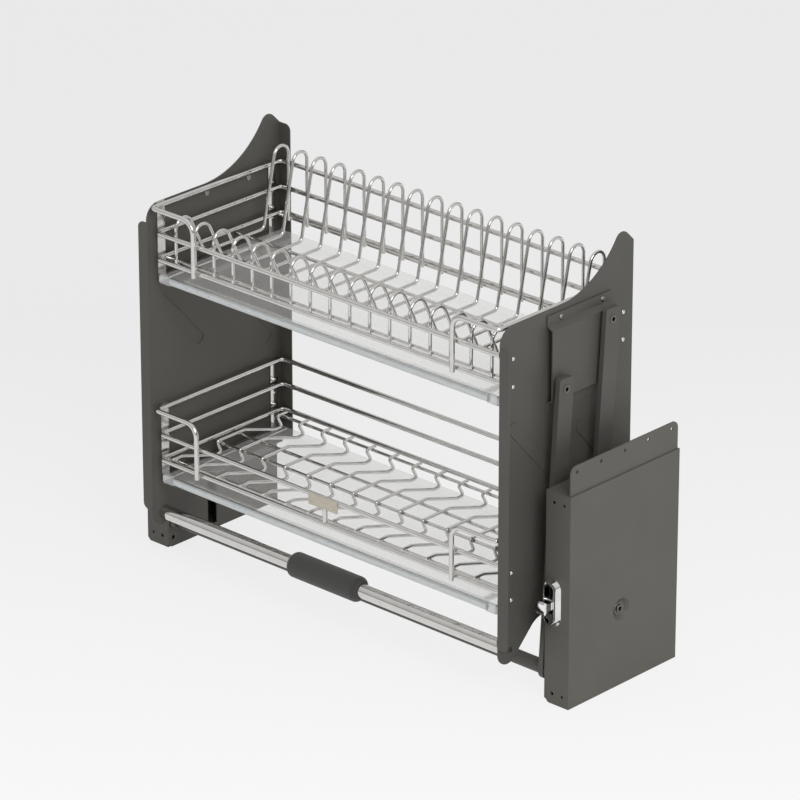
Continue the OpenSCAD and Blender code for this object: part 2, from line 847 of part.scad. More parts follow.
module rivets(s) {
    color("silver") in_frame() sided(s) for (p = all_rivets) {
        x1 = plate_out_x + seat / 2;
        bar_x(strip_in_x, x1, p, rivet_r);
        turned_x(x1, p)
            polygon([for (d = dome_shares) [d[0] * rivet_head_r, d[1] * rivet_head_h]]);
    }
}

module rivets_left() { rivets(-1); }
module rivets_right() { rivets(1); }

// Baskets

// Flat upright strips inside the side plates, which carry the rails
module strips(z, rivet_z) {
    color(chrome_col) in_frame() for (s = [-1, 1]) sided(s) difference() {
        for (y = [strip_front_y, strip_rear_y])
            block([strip_in_x, y - strip_w / 2, z - strip_tail],
                  [plate_in_x, y + strip_w / 2, z + 2 * rail_pitch + rail_d / 2]);
        for (p = rivet_places(rivet_z))
            bar_x(strip_in_x - over, plate_in_x + over, p, rivet_r + seat);
    }
}

module upper_strips() { strips(basket_z, basket_z); }
module lower_strips() { strips(low_basket_z, low_basket_z - low_rivet_drop); }

// Three rails: the top one turns down into two front posts, the others run all round
module rails(z) {
    post_foot = 5;
    top_z = z + 2 * rail_pitch;
    top = [for (s = [-1, 1]) [[s * post_x, rail_front_y, z - post_foot],
                              [s * post_x, rail_front_y, top_z],
                              [s * rail_x, rail_front_y, top_z],
                              [s * rail_x, basket_d, top_z]]];
    color(chrome_col) in_frame() {
        wire([top[0][0], top[0][1], top[0][2], top[0][3],
              top[1][3], top[1][2], top[1][1], top[1][0]], rail_d,
             [post_bend, rail_bend, rail_bend, rail_bend, rail_bend, post_bend]);
        for (h = [z, z + rail_pitch])
            wire([[-rail_x, rail_inner_y, h], [rail_x, rail_inner_y, h],
                  [rail_x, basket_d, h], [-rail_x, basket_d, h]], rail_d, rail_bend, true);
    }
}

module upper_rails() { rails(basket_z); }
module lower_rails() { rails(low_basket_z); }

module plate_wires() {
    short_z = base_z + short_loop_h;
    tall_z = base_z + tall_loop_h;
    outline = [[front_leg_y, base_z - leg_tail], [front_leg_y, short_z],
               [front_leg_y + short_loop_w, short_z], [short_foot_y, base_z],
               [tall_foot_y, base_z], [rear_leg_y - tall_loop_w, tall_z],
               [rear_leg_y, tall_z], [rear_leg_y, base_z - leg_tail]];
    color(chrome_col) in_frame() for (i = [0:plate_wire_n - 1]) {
        x = (i - (plate_wire_n - 1) / 2) * plate_wire_pitch;
        wire([for (p = outline) [x, p[0], p[1]]], plate_wire_d,
             [short_loop_bend, short_loop_bend, foot_bend, tall_foot_bend,
              tall_loop_bend, tall_loop_bend]);
    }
}

// Two wires under the bases of the plate holders, and one behind each row of legs
module upper_cross_wires() {
    butt_x = rail_x - rail_d / 2 - seat;
    color(chrome_col) in_frame() {
        for (y = base_wire_y)
            rod([-rail_x, y, cross_z], [rail_x, y, cross_z], plate_wire_d);
        for (y = [front_leg_y, rear_leg_y])
            rod([-butt_x, y + plate_wire_d + seat, base_z],
                [butt_x, y + plate_wire_d + seat, base_z], plate_wire_d);
    }
}

// Saw-tooth wires of the lower floor, written from the front to the back
module floor_wires() {
    low_z = floor_z - tooth_h;
    f1 = floor_front_y + front_flat;
    f2 = f1 + front_slope;
    f3 = f2 + valley;
    f4 = f3 - front_undercut;
    f5 = f4 + plateau;
    f6 = f5 + rear_slope;
    f7 = f6 + valley;
    f8 = f7 - rear_undercut;
    color(chrome_col) in_frame() for (i = [1:floor_wire_n]) {
        x = (i - (floor_wire_n + 1) / 2) * floor_wire_pitch;
        end_y = (i - 1) % linked_every == 0 ? basket_d - rail_d / 2 - seat : floor_rear_y;
        outline = [[floor_front_y, floor_z], [f1, floor_z], [f2, low_z], [f3, low_z],
                   [f4, floor_z], [f5, floor_z], [f6, low_z], [f7, low_z], [f8, floor_z],
                   [end_y, floor_z]];
        wire([for (p = outline) [x, p[0], p[1]]], floor_wire_d, floor_bend);
    }
}

module lower_cross_wires() {
    color(chrome_col) in_frame() for (y = floor_cross_y)
        rod([-rail_x, y, floor_cross_z], [rail_x, y, floor_cross_z], floor_wire_d);
}

// A bare plate on the front of the lower basket, over a short post between the rails
module badge_plate() {
    y1 = rail_inner_y - rail_d / 2 - seat;
    z = low_basket_z + rail_pitch - badge_drop;
    color([0.78, 0.75, 0.68]) in_frame()
        block([-badge_w / 2, y1 - badge_t, z - badge_h / 2], [badge_w / 2, y1, z + badge_h / 2]);
}

module badge_post() {
    color(chrome_col) in_frame()
        rod([0, rail_inner_y, low_basket_z + rail_d / 2 + seat],
            [0, rail_inner_y, low_basket_z + rail_pitch - rail_d / 2 - seat], rail_d);
}

// Trays

// An angle along each side, under the rim of the tray
module runners(z) {
    top = z - tray_drop - seat;
    x1 = strip_in_x - seat;
    y0 = strip_front_y - strip_w / 2;
    y1 = strip_rear_y + strip_w / 2;
    color([0.75, 0.76, 0.77]) in_frame() for (s = [-1, 1]) sided(s) {
        block([x1 - runner_w, y0, top - runner_t], [x1, y1, top]);
        block([x1 - runner_t, y0, top - runner_leg], [x1, y1, top]);
    }
}

module upper_runners() { runners(basket_z); }
module lower_runners() { runners(low_basket_z); }

module tray(z) {
    rim_z = z - tray_drop;
    y0 = tray_front_y + lip_t + seat;
    y1 = tray_front_y + lip_t + tray_d;
    in_x = tray_x - dish_side;
    in_y0 = y0 + dish_front;
    in_y1 = y1 - dish_back;
    color([0.85, 0.88, 0.9, 0.4]) in_frame() difference() {
        union() {
            block([-tray_x, y0, rim_z], [tray_x, y1, rim_z + tray_t]);
            block([-in_x - tray_t, in_y0 - tray_t, rim_z - tray_dish],
                  [in_x + tray_t, in_y1 + tray_t, rim_z + tray_t]);
        }
        block([-in_x, in_y0, rim_z - tray_dish + tray_t], [in_x, in_y1, rim_z + tray_t + over]);
    }
}

module upper_tray() { tray(basket_z); }
module lower_tray() { tray(low_basket_z); }

// Section of the lip, from its front edge and its lowest point, or fatter by more all round
module lip_profile(more) {
    r = lip_t / 2 + more;
    for (z = [lip_t / 2, lip_h - lip_t / 2])
        translate([lip_t / 2, z]) circle(r = r);
    translate([lip_t / 2 - r, lip_t / 2]) square([2 * r, lip_h - lip_t]);
}

module tray_lip(z) {
    low_z = z - tray_drop - lip_drop;
    color([0.72, 0.73, 0.73]) in_frame() translate([0, tray_front_y, low_z])
        slab_x(cap_l - tray_x, tray_x - cap_l) lip_profile(0);
}

module upper_tray_lip() { tray_lip(basket_z); }
module lower_tray_lip() { tray_lip(low_basket_z); }

module tray_caps(z) {
    low_z = z - tray_drop - lip_drop;
    color([0.85, 0.86, 0.86]) in_frame() for (s = [-1, 1]) sided(s)
        translate([0, tray_front_y, low_z]) slab_x(tray_x - cap_l + seat, tray_x)
            intersection() {
                lip_profile(cap_over);
                translate([-lip_t, -lip_t]) square([2 * lip_t, lip_h + 2 * lip_t]);
            }
}

module upper_tray_caps() { tray_caps(basket_z); }
module lower_tray_caps() { tray_caps(low_basket_z); }

// Handle

handle_at = [handle_y, handle_z];
handle_end_x = plate_in_x - seat / 2;
plug_r = handle_d / 2 - handle_wall - seat;

module handle_tube() {
    color(chrome_col) in_frame() difference() {
        bar_x(-handle_end_x, handle_end_x, handle_at, handle_d / 2);
        bar_x(-handle_end_x - over, handle_end_x + over, handle_at, handle_d / 2 - handle_wall);
    }
}

module handle_grip() {
    r0 = handle_d / 2 + run_fit;
    r1 = grip_d / 2 - grip_round;
    color([0.13, 0.13, 0.13]) in_frame() turned_x(-grip_l / 2 - grip_shift, handle_at) {
        difference() {
            union() {
                translate([r0, 0]) square([r1 - r0, grip_l]);
                translate([r0, grip_round]) square([r1 + grip_round - r0, grip_l - 2 * grip_round]);
                for (y = [grip_round, grip_l - grip_round])
                    translate([r1, y]) circle(r = grip_round);
            }
            translate([0, -over]) square([r0, grip_l + 2 * over]);
        }
    }
}

module handle_plugs() {
    color([0.15, 0.15, 0.15]) in_frame() for (s = [-1, 1]) sided(s) difference() {
        bar_x(handle_end_x - plug_l, handle_end_x, handle_at, plug_r);
        bar_x(handle_end_x - handle_screw_l, handle_end_x + over, handle_at, screw_r + seat);
    }
}

module handle_screws() {
    x1 = plate_out_x + seat / 2;
    color([0.2, 0.2, 0.2]) in_frame() for (s = [-1, 1]) sided(s) {
        bar_x(handle_end_x - handle_screw_l + over, x1, handle_at, screw_r);
        bar_x(x1, x1 + screw_head_h, handle_at, screw_head_r);
    }
}

housing_left();
housing_right();
inner_cover_left();
inner_cover_right();
screw_plate_left();
screw_plate_right();
adjuster_bezel_left();
adjuster_bezel_right();
adjuster_lever_left();
adjuster_lever_right();
lift_spring_left();
lift_spring_right();
damper_left();
damper_right();
front_axle_left();
front_axle_right();
axle_bearings();
axle_spacers();
rear_axle_left();
rear_axle_right();
arm_stops();
front_arm_left();
front_arm_right();
cross_bar();
rear_arm_left();
rear_arm_right();
side_plate_left();
side_plate_right();
arm_bracket_left();
arm_bracket_right();
arm_pins_left();
arm_pins_right();
bracket_screws();
rivets_left();
rivets_right();
upper_strips();
lower_strips();
upper_rails();
plate_wires();
upper_cross_wires();
lower_rails();
floor_wires();
lower_cross_wires();
badge_plate();
badge_post();
upper_runners();
lower_runners();
upper_tray();
upper_tray_lip();
upper_tray_caps();
lower_tray();
lower_tray_lip();
lower_tray_caps();
handle_tube();
handle_grip();
handle_plugs();
handle_screws();
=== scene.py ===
import json
import math
import bmesh
import bpy
from mathutils import Matrix, Vector


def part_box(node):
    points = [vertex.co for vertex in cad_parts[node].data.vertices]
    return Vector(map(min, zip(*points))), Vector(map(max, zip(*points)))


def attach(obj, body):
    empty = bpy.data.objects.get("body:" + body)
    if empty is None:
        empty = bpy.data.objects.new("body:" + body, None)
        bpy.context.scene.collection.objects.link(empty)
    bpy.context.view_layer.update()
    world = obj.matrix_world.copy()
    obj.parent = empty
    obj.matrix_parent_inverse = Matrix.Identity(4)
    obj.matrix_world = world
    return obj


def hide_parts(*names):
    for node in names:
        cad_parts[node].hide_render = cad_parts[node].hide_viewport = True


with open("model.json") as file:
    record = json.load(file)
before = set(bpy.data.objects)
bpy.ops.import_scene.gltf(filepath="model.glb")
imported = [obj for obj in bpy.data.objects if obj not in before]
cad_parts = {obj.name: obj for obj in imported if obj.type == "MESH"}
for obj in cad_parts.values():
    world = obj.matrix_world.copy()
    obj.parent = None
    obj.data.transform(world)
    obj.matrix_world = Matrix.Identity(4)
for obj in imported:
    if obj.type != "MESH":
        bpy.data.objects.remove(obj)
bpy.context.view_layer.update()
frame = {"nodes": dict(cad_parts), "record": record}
nodes = frame["nodes"]
record = frame["record"]
bodyOf = {n: body for body, names in record["behaviour"]["bodies"].items() for n in names}
print("frame loaded,", len(nodes), "nodes")

mm = 0.001
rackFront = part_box("side_plate_right")[0].y  # depths are counted back from here


# Camera, at the photograph's own angle
cameraSetup = {
    "place": (4.4462, -4.76015, 3.1163),  # metres
    "turn": 42.937,  # degrees round from the front
    "tilt": 23.414,  # degrees down
    "lens": 243.58,
    "sensor": 36,
    "sees": (0.1, 100),
}


def makeCamera(s):
    turn, tilt = math.radians(s["turn"]), math.radians(s["tilt"])
    right = Vector((math.cos(turn), math.sin(turn), 0))
    ahead = Vector((-math.sin(turn) * math.cos(tilt), math.cos(turn) * math.cos(tilt), -math.sin(tilt)))
    up = right.cross(ahead)
    data = bpy.data.cameras.new("camera")
    data.lens = s["lens"]
    data.sensor_width = s["sensor"]
    data.clip_start, data.clip_end = s["sees"]
    cam = bpy.data.objects.new("camera", data)
    bpy.context.scene.collection.objects.link(cam)
    turned = Matrix((right, up, -ahead)).transposed().to_4x4()
    cam.matrix_world = Matrix.Translation(Vector(s["place"])) @ turned
    bpy.context.scene.camera = cam


makeCamera(cameraSetup)
print("camera set")


# Materials
def newMaterial(name):
    m = bpy.data.materials.new(name)
    m.use_nodes = True
    return m, m.node_tree, m.node_tree.nodes["Principled BSDF"]


def addNode(tree, kind, inputs=None, **props):
    n = tree.nodes.new(kind)
    for key, value in props.items():
        setattr(n, key, value)
    for key, value in (inputs or {}).items():
        n.inputs[key].default_value = value
    return n


def noiseOn(tree, scale, detail=3.0, rough=0.55, stretch=(1, 1, 1)):
    coords = addNode(tree, "ShaderNodeTexCoord")
    place = addNode(tree, "ShaderNodeMapping", {"Scale": stretch})
    noise = addNode(tree, "ShaderNodeTexNoise", {"Scale": scale, "Detail": detail, "Roughness": rough})
    tree.links.new(coords.outputs["Object"], place.inputs["Vector"])
    tree.links.new(place.outputs["Vector"], noise.inputs["Vector"])
    return noise.outputs["Fac"]


def rampFrom(tree, source, stops):
    ramp = addNode(tree, "ShaderNodeValToRGB")
    line = ramp.color_ramp
    while len(line.elements) < len(stops):
        line.elements.new(0.5)
    for e, (at, colour) in zip(line.elements, stops):
        e.position = at
        e.color = (*colour, 1) if len(colour) == 3 else colour
    tree.links.new(source, ramp.inputs["Fac"])
    return ramp.outputs["Color"]


def rangeFrom(tree, source, low, high, fromLow=0.3, fromHigh=0.7):
    n = addNode(tree, "ShaderNodeMapRange", {1: fromLow, 2: fromHigh, 3: low, 4: high})
    tree.links.new(source, n.inputs[0])
    return n.outputs[0]


def bumpFrom(tree, shader, height, strength, distance):
    bump = addNode(tree, "ShaderNodeBump", {"Strength": strength, "Distance": distance})
    tree.links.new(height, bump.inputs["Height"])
    tree.links.new(bump.outputs["Normal"], shader.inputs["Normal"])


def shade(colour, by):
    return tuple(c * by for c in colour)


def toneFrom(tree, shader, source, colour, darkest, lightest):
    stops = [(0.3, shade(colour, darkest)), (0.7, shade(colour, lightest))]
    tree.links.new(rampFrom(tree, source, stops), shader.inputs["Base Color"])


def roughFrom(tree, shader, source, low, high):
    tree.links.new(rangeFrom(tree, source, low, high), shader.inputs["Roughness"])


# Sprayed powder: a faintly cloudy tone and a fine orange peel
def powderCoat(name, colour, rough=0.5):
    m, tree, shader = newMaterial(name)
    cloudy = noiseOn(tree, scale=9, detail=4)
    toneFrom(tree, shader, cloudy, colour, 0.94, 1.06)
    peel = noiseOn(tree, scale=1400, detail=2)
    roughFrom(tree, shader, peel, rough - 0.06, rough + 0.08)
    shader.inputs["Specular IOR Level"].default_value = 0.3
    bumpFrom(tree, shader, peel, strength=0.1, distance=0.0003)
    return m


def polishedChrome(name, colour, rough):
    m, tree, shader = newMaterial(name)
    shader.inputs["Metallic"].default_value = 1.0
    cloudy = noiseOn(tree, scale=60, detail=3)
    toneFrom(tree, shader, cloudy, colour, 0.95, 1.04)
    hazy = noiseOn(tree, scale=350, detail=3)
    roughFrom(tree, shader, hazy, rough - 0.04, rough + 0.06)
    bumpFrom(tree, shader, noiseOn(tree, scale=900, detail=2), strength=0.05, distance=0.0002)
    return m


def brushedMetal(name, colour, rough=0.3):
    m, tree, shader = newMaterial(name)
    shader.inputs["Metallic"].default_value = 1.0
    streaks = noiseOn(tree, scale=500, detail=3, rough=0.6, stretch=(0.15, 1, 1))
    toneFrom(tree, shader, streaks, colour, 0.88, 1.1)
    roughFrom(tree, shader, streaks, rough - 0.08, rough + 0.12)
    bumpFrom(tree, shader, streaks, strength=0.1, distance=0.0002)
    return m


def softFoam(name, colour):
    m, tree, shader = newMaterial(name)
    cells = addNode(tree, "ShaderNodeTexVoronoi", {"Scale": 900.0})
    coords = addNode(tree, "ShaderNodeTexCoord")
    tree.links.new(coords.outputs["Object"], cells.inputs["Vector"])
    # The tone is painted darker in the middle of each cell, where the bump sinks a pit, and lighter on the
    # ridges between: painted shade in the pits
    stops = [(0.0, shade(colour, 0.6)), (0.55, shade(colour, 1.2))]
    tone = rampFrom(tree, cells.outputs["Distance"], stops)
    tree.links.new(tone, shader.inputs["Base Color"])
    shader.inputs["Roughness"].default_value = 0.85
    shader.inputs["Sheen Weight"].default_value = 0.25
    shader.inputs["Sheen Roughness"].default_value = 0.6
    bumpFrom(tree, shader, cells.outputs["Distance"], strength=0.35, distance=0.0006)
    return m


def plainMoulded(name, colour, rough):
    m, tree, shader = newMaterial(name)
    cloudy = noiseOn(tree, scale=40, detail=3)
    toneFrom(tree, shader, cloudy, colour, 0.92, 1.06)
    fine = noiseOn(tree, scale=700, detail=2)
    roughFrom(tree, shader, fine, rough - 0.05, rough + 0.07)
    bumpFrom(tree, shader, fine, strength=0.06, distance=0.0003)
    return m


# Thin clear sheet: mostly see-through, with a faint haze that catches the light
def clearPlastic(name, colour, rough, alpha):
    m, tree, shader = newMaterial(name)
    cloudy = noiseOn(tree, scale=14, detail=3)
    toneFrom(tree, shader, cloudy, colour, 0.98, 1.01)
    roughFrom(tree, shader, cloudy, rough - 0.03, rough + 0.03)
    shader.inputs["IOR"].default_value = 1.49
    shader.inputs["Alpha"].default_value = alpha
    return m


finishes = {
    "housing": powderCoat("warm grey powder coat", (0.110, 0.106, 0.093)),
    "plate": powderCoat("dark grey powder coat", (0.092, 0.088, 0.078)),
    "arm": powderCoat("arm powder coat", (0.088, 0.085, 0.076), rough=0.46),
    "chrome": polishedChrome("polished chrome wire", (0.66, 0.65, 0.63), rough=0.09),
    "bezel": polishedChrome("bright chrome", (0.88, 0.88, 0.88), rough=0.07),
    "zinc": brushedMetal("bright zinc", (0.62, 0.62, 0.61)),
    "rivet": brushedMetal("bright rivets", (0.72, 0.72, 0.71), rough=0.18),
    "greyZinc": brushedMetal("grey zinc screws", (0.29, 0.285, 0.27), rough=0.22),
    "darkSteel": brushedMetal("dark zinc", (0.17, 0.165, 0.15), rough=0.36),
    "black": plainMoulded("black moulding", (0.018, 0.018, 0.018), rough=0.45),
    "rubber": plainMoulded("black rubber", (0.014, 0.014, 0.014), rough=0.8),
    "blackSteel": plainMoulded("black screws", (0.02, 0.02, 0.02), rough=0.35),
    "foam": softFoam("grip foam", (0.030, 0.029, 0.027)),
    "badge": brushedMetal("satin badge", (0.53, 0.49, 0.41), rough=0.32),
    "tray": clearPlastic("clear tray", (0.90, 0.89, 0.87), rough=0.3, alpha=0.2),
    "lip": brushedMetal("satin lip", (0.60, 0.62, 0.62), rough=0.34),
    "cap": clearPlastic("clear cap", (0.66, 0.67, 0.67), rough=0.12, alpha=0.45),
}
print("materials made")


# Pieces carried over from the frame
coats = {
    "housing": ["housing_left", "housing_right", "inner_cover_left", "inner_cover_right",
                "screw_plate_left", "screw_plate_right"],
    "plate": ["side_plate_left", "side_plate_right", "arm_bracket_left", "arm_bracket_right"],
    "arm": ["front_arm_left", "front_arm_right", "rear_arm_left", "rear_arm_right", "cross_bar"],
    "bezel": ["adjuster_bezel_left", "adjuster_bezel_right", "adjuster_lever_left", "adjuster_lever_right"],
    "chrome": ["upper_strips", "lower_strips", "upper_rails", "plate_wires", "upper_cross_wires",
               "lower_rails", "floor_wires", "lower_cross_wires", "badge_post", "handle_tube"],
    "zinc": ["front_axle_left", "front_axle_right", "axle_bearings", "axle_spacers",
             "lift_spring_left", "lift_spring_right", "upper_runners", "lower_runners"],
    "rivet": ["rivets_left", "rivets_right"],
    "darkSteel": ["rear_axle_left", "rear_axle_right", "arm_pins_left", "arm_pins_right"],
    "greyZinc": ["bracket_screws"],
    "black": ["damper_left", "damper_right", "handle_plugs"],
    "rubber": ["arm_stops"],
    "blackSteel": ["handle_screws"],
    "foam": ["handle_grip"],
    "badge": ["badge_plate"],
    "tray": ["upper_tray", "lower_tray"],
    "lip": ["upper_tray_lip", "lower_tray_lip"],
    "cap": ["upper_tray_caps", "lower_tray_caps"],
}
coatOf = {name: coat for coat, names in coats.items() for name in names}

for name, node in nodes.items():
    node.data.materials.clear()
    node.data.materials.append(finishes[coatOf[name]])


smoothUpTo = 35  # degrees
mergeWithin = {"cad": 0.00001, "wire": 0.000002, "turned": 0.000005}  # metres


# A finished piece that rides with the node it is like, and stands for it
def finishMesh(name, bm, coat, like, weighted=False):
    mesh = bpy.data.meshes.new(name)
    bm.to_mesh(mesh)
    bm.free()
    mesh.materials.append(finishes[coat])
    mesh.polygons.foreach_set("use_smooth", [True] * len(mesh.polygons))
    mesh.set_sharp_from_angle(angle=math.radians(smoothUpTo))
    piece = bpy.data.objects.new(name, mesh)
    bpy.context.scene.collection.objects.link(piece)
    if weighted:
        even = piece.modifiers.new("even shading", "WEIGHTED_NORMAL")
        even.keep_sharp = True
    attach(piece, bodyOf[like])
    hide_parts(like)


def mergedCopy(name):
    bm = bmesh.new()
    bm.from_mesh(nodes[name].data)
    bmesh.ops.remove_doubles(bm, verts=bm.verts, dist=mergeWithin["cad"])
    return bm


def addInto(bm, part):
    mesh = bpy.data.meshes.new("part")
    part.to_mesh(mesh)
    part.free()
    bm.from_mesh(mesh)
    bpy.data.meshes.remove(mesh)


# Corners rounded over as a pressed sheet's are, or broken as a turned part's; widths in mm
edgeRounds = {
    "housing_left": 0.8, "housing_right": 0.8, "inner_cover_left": 0.3, "inner_cover_right": 0.3,
    "screw_plate_left": 0.4, "screw_plate_right": 0.4,
    "side_plate_left": 0.35, "side_plate_right": 0.35, "arm_bracket_left": 0.5, "arm_bracket_right": 0.5,
    "front_arm_left": 0.6, "front_arm_right": 0.6, "rear_arm_left": 0.6, "rear_arm_right": 0.6,
    "adjuster_bezel_left": 0.8, "adjuster_bezel_right": 0.8,
    "adjuster_lever_left": 0.6, "adjuster_lever_right": 0.6,
    "upper_strips": 0.5, "lower_strips": 0.5, "badge_plate": 0.3,
    "front_axle_left": 0.3, "front_axle_right": 0.3,
    "arm_pins_left": 0.25, "arm_pins_right": 0.25, "axle_spacers": 0.4, "axle_bearings": 0.3,
    "damper_left": 1.0, "damper_right": 1.0, "arm_stops": 0.8, "cross_bar": 0.3,
    "upper_runners": 0.3, "lower_runners": 0.3,
    "handle_tube": 0.4, "handle_plugs": 0.3, "handle_grip": 0.2,
    "upper_tray": 0.35, "lower_tray": 0.35, "upper_tray_lip": 0.4, "lower_tray_lip": 0.4,
    "upper_tray_caps": 0.5, "lower_tray_caps": 0.5,
}


rounding = {"flatWithin": 0.5, "sharperThan": 30, "segments": 3}  # angles in degrees


def roundedCopy(name, width, s):
    bm = mergedCopy(name)
    bmesh.ops.dissolve_limit(bm, angle_limit=math.radians(s["flatWithin"]), verts=bm.verts, edges=bm.edges)
    limit = math.radians(s["sharperThan"])
    sharp = [e for e in bm.edges if e.is_manifold and e.calc_face_angle(0) > limit]
    bmesh.ops.bevel(bm, geom=sharp, offset=width * mm, offset_type="OFFSET", affect="EDGES",
                    segments=s["segments"], profile=0.5, material=-1, clamp_overlap=True)
    finishMesh(name + "_rounded", bm, coatOf[name], name, weighted=True)


for name, width in edgeRounds.items():
    roundedCopy(name, width, rounding)
print("edges rounded")


# Bent wires
wireShape = {
    "sides": 14,
    "shortestPush": 1e-7,
    "degreesPerStep": 12,
    "fewestSteps": 3,
    "endRoundShare": 0.2,
    "endSegments": 3,
}
weldShares = {  # of the wire's diameter
    "strip": (0.45, 0.9, 0.5),
    "post": (0.5, 0.45, 0.5),
    "crossing": (0.75, 0.75, 0.5),
    "leg": (0.75, 0.5, 0.75),
}


def ringEdges(ring):
    inRing = set(ring)
    return list({e for v in ring for e in v.link_edges if e.other_vert(v) in inRing})


def pushRing(bm, ring, by):
    if by.length < wireShape["shortestPush"]:
        return ring
    made = bmesh.ops.extrude_edge_only(bm, edges=ringEdges(ring))
    ring = [v for v in made["geom"] if isinstance(v, bmesh.types.BMVert)]
    bmesh.ops.translate(bm, verts=ring, vec=by)
    return ring


# A ring is pushed along each straight and spun round each bend, then its ends are closed and rounded
def bendWire(bm, corners, diameter, bends, closed=False):
    s = wireShape
    corners = [Vector(c) for c in corners]
    if closed:  # starts in the middle of the first side
        start = (corners[0] + corners[1]) / 2
        corners = [start] + corners[1:] + [corners[0], start]
    if not isinstance(bends, (list, tuple)):
        bends = [bends] * (len(corners) - 2)
    facing = (corners[1] - corners[0]).to_track_quat("Z", "Y").to_matrix().to_4x4()
    first = bmesh.ops.create_circle(bm, segments=s["sides"], radius=diameter / 2,
                                    matrix=Matrix.Translation(corners[0]) @ facing)["verts"]
    ring, place = first, corners[0]
    for a, b, c, bend in zip(corners, corners[1:], corners[2:], bends):
        before, after = (b - a).normalized(), (c - b).normalized()
        angle = before.angle(after)
        back = bend * math.tan(angle / 2)
        ring = pushRing(bm, ring, b - before * back - place)
        centre = b + (after - before).normalized() * bend / math.cos(angle / 2)
        steps = max(s["fewestSteps"], round(math.degrees(angle) / s["degreesPerStep"]))
        made = bmesh.ops.spin(bm, geom=ring + ringEdges(ring), cent=centre,
                              axis=before.cross(after).normalized(), angle=angle, steps=steps)
        ring = [v for v in made["geom_last"] if isinstance(v, bmesh.types.BMVert)]
        place = b + after * back
    ring = pushRing(bm, ring, corners[-1] - place)
    if not closed:
        for end in (first, ring):
            rim = ringEdges(end)
            bmesh.ops.contextual_create(bm, geom=rim)
            bmesh.ops.bevel(bm, geom=rim, offset=diameter * s["endRoundShare"], offset_type="OFFSET",
                            affect="EDGES", segments=s["endSegments"], profile=0.5, material=-1)


def tidyWire(bm):
    bmesh.ops.remove_doubles(bm, verts=bm.verts, dist=mergeWithin["wire"])
    bmesh.ops.recalc_face_normals(bm, faces=bm.faces)


# The shape in bm, repeated at each place across the rack
def repeatedAcross(bm, places):
    one = bpy.data.meshes.new("one wire")
    bm.to_mesh(one)
    bm.free()
    many = bmesh.new()
    for x in places:
        shifted = one.copy()
        shifted.transform(Matrix.Translation((x, 0, 0)))
        many.from_mesh(shifted)
        bpy.data.meshes.remove(shifted)
    bpy.data.meshes.remove(one)
    return many


# A spot weld: the metal that is squeezed out between two wires
def weldSpot(bm, place, kind, diameter):
    made = bmesh.ops.create_icosphere(bm, subdivisions=2, radius=0.5)["verts"]
    bmesh.ops.scale(bm, verts=made, vec=Vector(weldShares[kind]) * diameter)
    bmesh.ops.translate(bm, verts=made, vec=place)


rails = {
    "diameter": 6.8,
    "pitch": 36.75,
    "gap": 0.1,  # between wires that lie on each other
    "bend": 8,
    "postBend": 18,
    "postInset": 76.5,
    "stripPlaces": (24, 234),
}


def makeRails(name, s):
    low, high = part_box(name)
    d = s["diameter"] * mm
    side, front, rear, top = high.x - d / 2, low.y + d / 2, high.y - d / 2, high.z - d / 2
    inner, post = front + d + s["gap"] * mm, side - s["postInset"] * mm
    bend, postBend = s["bend"] * mm, s["postBend"] * mm
    bm = bmesh.new()
    bendWire(bm, [(-post, front, low.z), (-post, front, top), (-side, front, top), (-side, rear, top),
                  (side, rear, top), (side, front, top), (post, front, top), (post, front, low.z)],
             d, [postBend, bend, bend, bend, bend, postBend])
    for level in (1, 2):
        z = top - level * s["pitch"] * mm
        bendWire(bm, [(-side, inner, z), (side, inner, z), (side, rear, z), (-side, rear, z)], d, bend,
                 closed=True)
    tidyWire(bm)
    for x in (-1, 1):
        for level in (0, 1, 2):
            z = top - level * s["pitch"] * mm
            for depth in s["stripPlaces"]:
                weldSpot(bm, (x * (side + d / 2), rackFront + depth * mm, z), "strip", d)
            if level:
                weldSpot(bm, (x * post, (front + inner) / 2, z), "post", d)
    finishMesh(name + "_bent", bm, "chrome", name)


makeRails("upper_rails", rails)
makeRails("lower_rails", rails)
print("rails bent")

plateRack = {
    "diameter": 4.6,
    "count": 17,
    "shortLoop": {"height": 59.5, "width": 24.4, "bend": 14.4},
    "tallLoop": {"height": 109, "width": 24.8, "bend": 13.6},
    "feet": (74.4, 186.4),  # where the loops meet the base
    "footBends": (7, 8),
    "tail": 2.5,
    "baseWires": (90.6, 158),
    "gap": 0.1,
}


